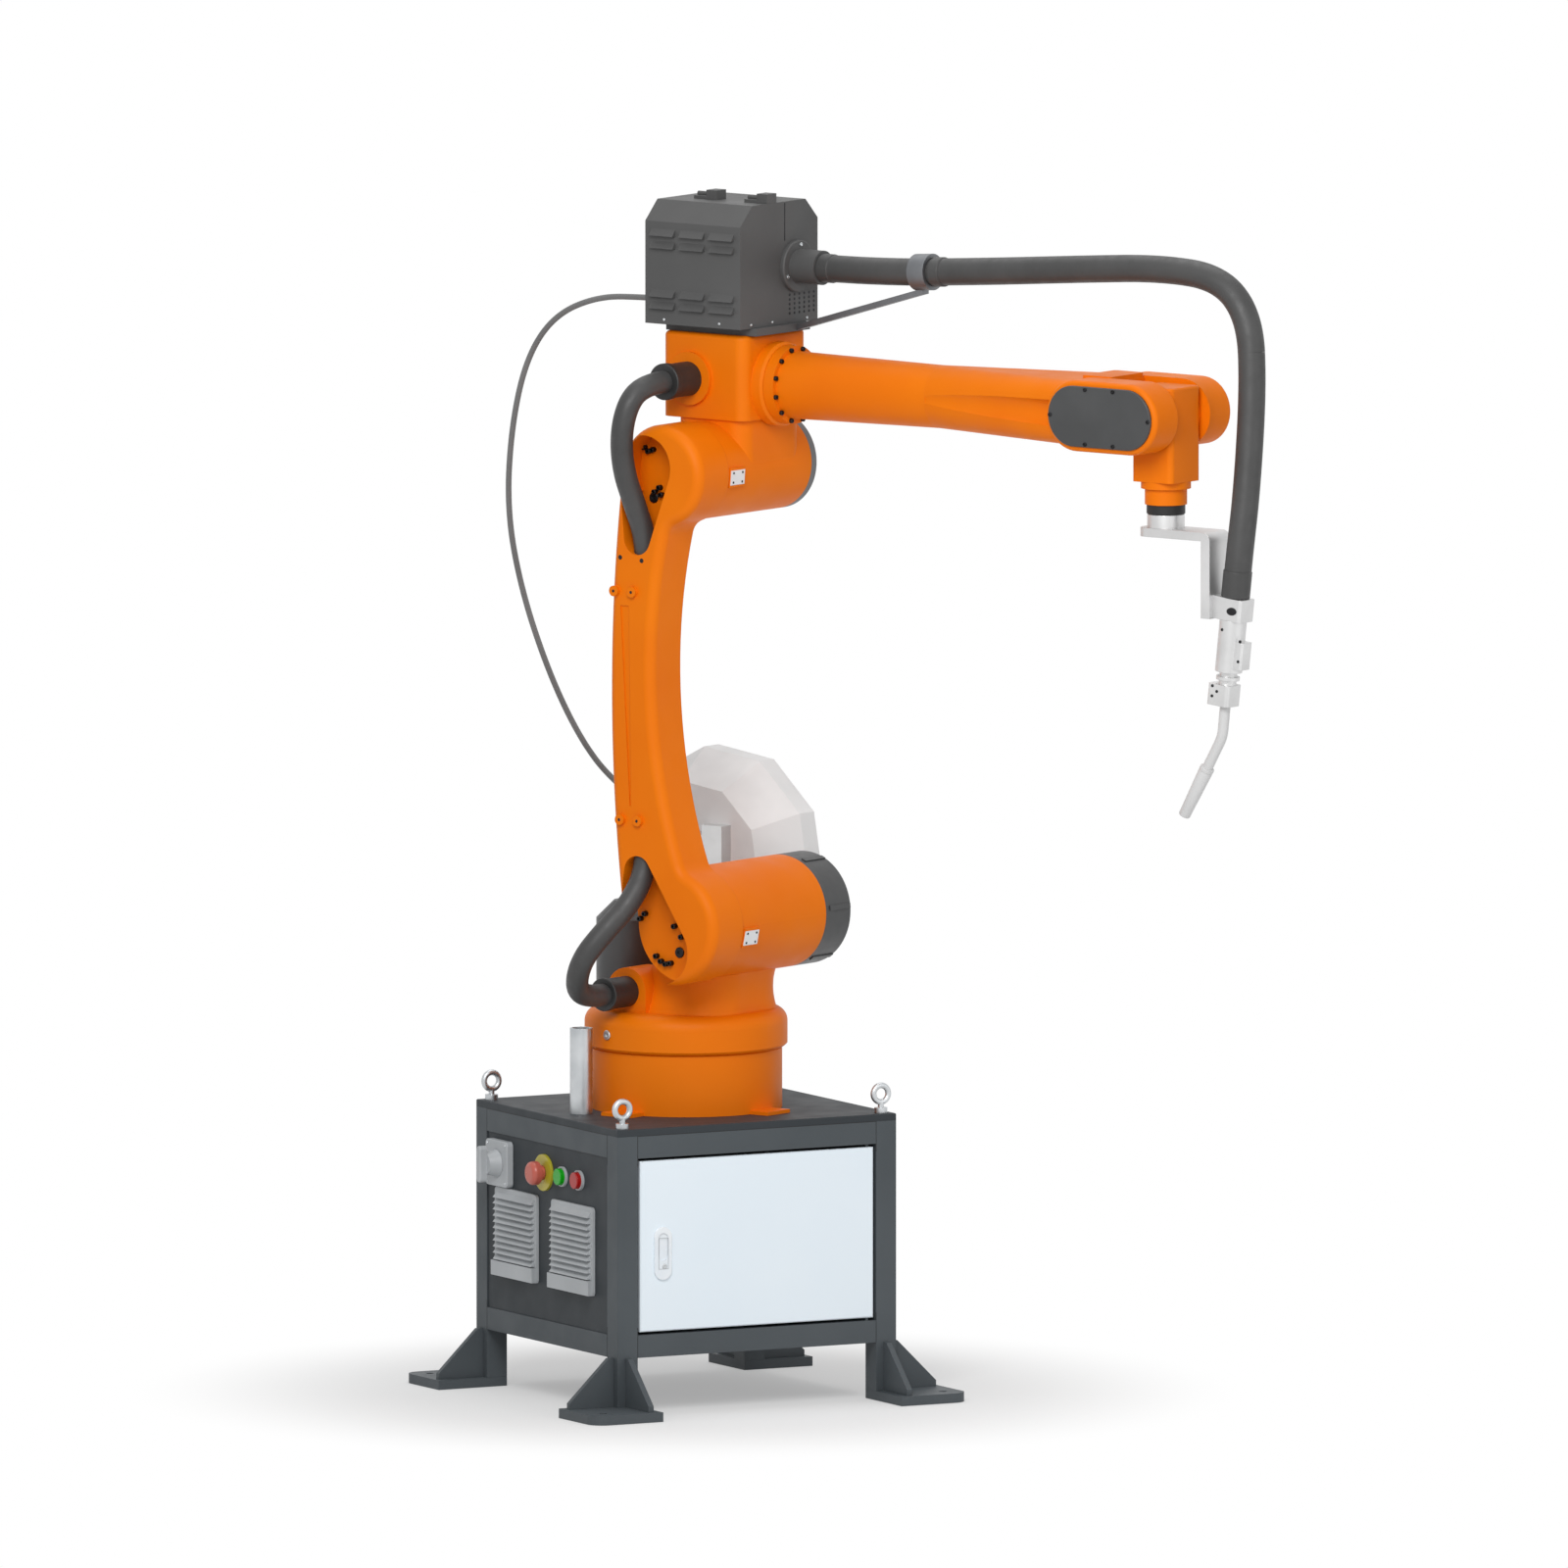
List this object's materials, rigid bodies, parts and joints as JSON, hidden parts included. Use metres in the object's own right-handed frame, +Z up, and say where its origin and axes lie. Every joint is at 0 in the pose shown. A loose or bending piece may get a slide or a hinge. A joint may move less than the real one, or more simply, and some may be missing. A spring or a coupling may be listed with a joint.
{
  "type": "industrial robot arm",
  "caption": "Six-axis welding robot arm with wire feeder, torch, dress cables and wire spool, standing on a hinged-door cabinet with floor feet.",
  "frame": {"origin": "on the floor, on the slewing axis, at the centre of the four anchor holes", "axes": "+Z up along the slewing axis, -Y out of the cabinet door, -X out of the vent side"},
  "size_m": [0.9056, 1.5221, 2.044],
  "materials": {
    "frame_paint": "satin slate grey powder coat",
    "door_paint": "smooth pale enamel",
    "latch_plastic": "smooth white",
    "arm_paint": "satin orange enamel on castings",
    "cap_plastic": "fine grained",
    "elbow_cap_paint": "satin grey",
    "feeder_paint": "satin dark grey powder coat",
    "hose_rubber": "matte",
    "spool_plastic": "translucent pale moulding",
    "bright_steel": "zinc plated",
    "tool_aluminium": "satin machined",
    "switch_plastic": "fine grained",
    "yellow_plastic": "smooth",
    "red_plastic": "smooth",
    "green_plastic": "smooth"
  },
  "bodies": {
    "stand": {"corner_posts": "frame_paint", "top_rails": "frame_paint", "bottom_rails": "frame_paint", "top_plate": "frame_paint", "floor_panel": "frame_paint", "vent_panel": "frame_paint", "side_panel": "frame_paint", "back_panel": "frame_paint", "foot_plates": "frame_paint", "gussets": "frame_paint", "eye_bolts": "bright_steel", "cable_riser": "bright_steel", "isolator_plate": "switch_plastic", "e_stop_ring": "yellow_plastic", "button_bezels": "switch_plastic", "vent_grilles": "switch_plastic", "base_drum": "arm_paint"},
    "door": {"door": "door_paint", "door_latch": "latch_plastic"},
    "isolator": {"isolator_knob": "switch_plastic"},
    "e_stop": {"e_stop_button": "red_plastic"},
    "start": {"start_button": "green_plastic"},
    "stop": {"stop_button": "red_plastic"},
    "turret": {"turret": "arm_paint", "shoulder_cap": "cap_plastic", "slew_motor": "cap_plastic", "lower_gland": "hose_rubber", "lower_hose": "hose_rubber", "spool_cover": "spool_plastic", "spool_bracket": "tool_aluminium"},
    "lower_arm": {"lower_arm": "arm_paint", "wire_conduit_lower": "hose_rubber"},
    "elbow": {"elbow_housing": "arm_paint", "elbow_cap": "elbow_cap_paint", "upper_gland": "hose_rubber", "upper_hose": "hose_rubber", "feeder_base": "feeder_paint", "feeder_box": "feeder_paint", "feeder_latches": "feeder_paint", "outlet_flange": "feeder_paint", "cable_support": "feeder_paint", "torch_cable_feed": "hose_rubber", "wire_conduit_upper": "hose_rubber"},
    "forearm": {"forearm": "arm_paint", "belt_cover": "cap_plastic", "torch_cable_reach": "hose_rubber"},
    "wrist": {"wrist_block": "arm_paint", "torch_cable_drop": "hose_rubber"},
    "tool": {"tool_ring": "cap_plastic", "tool_adaptor": "tool_aluminium", "torch_bracket": "tool_aluminium", "torch_clamp": "tool_aluminium", "torch_body": "tool_aluminium", "torch_neck": "tool_aluminium", "torch_nozzle": "tool_aluminium"}
  },
  "joints": [
    {"name": "slew", "type": "hinge", "parent": "stand", "child": "turret", "pos_m": [0, 0, 0], "axis": [0, 0, 1], "range_deg": [-165, 165]},
    {"name": "shoulder", "type": "hinge", "parent": "turret", "child": "lower_arm", "pos_m": [0.05071, -0.10876, 0.815], "axis": [0.9063, 0.4226, 0], "range_deg": [-80, 65], "deforming": ["lower_hose", "wire_conduit_lower"]},
    {"name": "elbow", "type": "hinge", "parent": "lower_arm", "child": "elbow", "pos_m": [0.04353, -0.09335, 1.578], "axis": [-0.9063, -0.4226, 0], "range_deg": [-50, 90], "deforming": ["upper_hose", "wire_conduit_upper", "wire_conduit_lower"]},
    {"name": "roll", "type": "hinge", "parent": "elbow", "child": "forearm", "pos_m": [0.0803, -0.1722, 1.722], "axis": [0.4226, -0.9063, 0], "range_deg": [-165, 165], "deforming": ["torch_cable_feed", "torch_cable_reach"]},
    {"name": "wrist", "type": "hinge", "parent": "forearm", "child": "wrist", "pos_m": [0.42558, -0.91265, 1.722], "axis": [-0.9063, -0.4226, 0], "range_deg": [-25, 110], "deforming": ["torch_cable_reach", "torch_cable_drop"]},
    {"name": "flange", "type": "hinge", "parent": "wrist", "child": "tool", "pos_m": [0.42558, -0.91265, 1.572], "axis": [0, 0, 1], "range_deg": [-180, 180], "deforming": ["torch_cable_drop"]},
    {"name": "door_hinge", "type": "hinge", "parent": "stand", "child": "door", "pos_m": [0.212, -0.248, 0], "axis": [0, 0, 1], "range_deg": [0, 110]},
    {"name": "isolator_turn", "type": "hinge", "parent": "stand", "child": "isolator", "pos_m": [-0.2753, 0.165, 0.386], "axis": [-1, 0, 0], "range_deg": [0, 90]},
    {"name": "e_stop_push", "type": "slide", "parent": "stand", "child": "e_stop", "axis": [1, 0, 0], "range_m": [0, 0.005]},
    {"name": "start_push", "type": "slide", "parent": "stand", "child": "start", "axis": [1, 0, 0], "range_m": [0, 0.003], "stiffness_N_per_m": 600},
    {"name": "stop_push", "type": "slide", "parent": "stand", "child": "stop", "axis": [1, 0, 0], "range_m": [0, 0.003], "stiffness_N_per_m": 600}
  ]
}
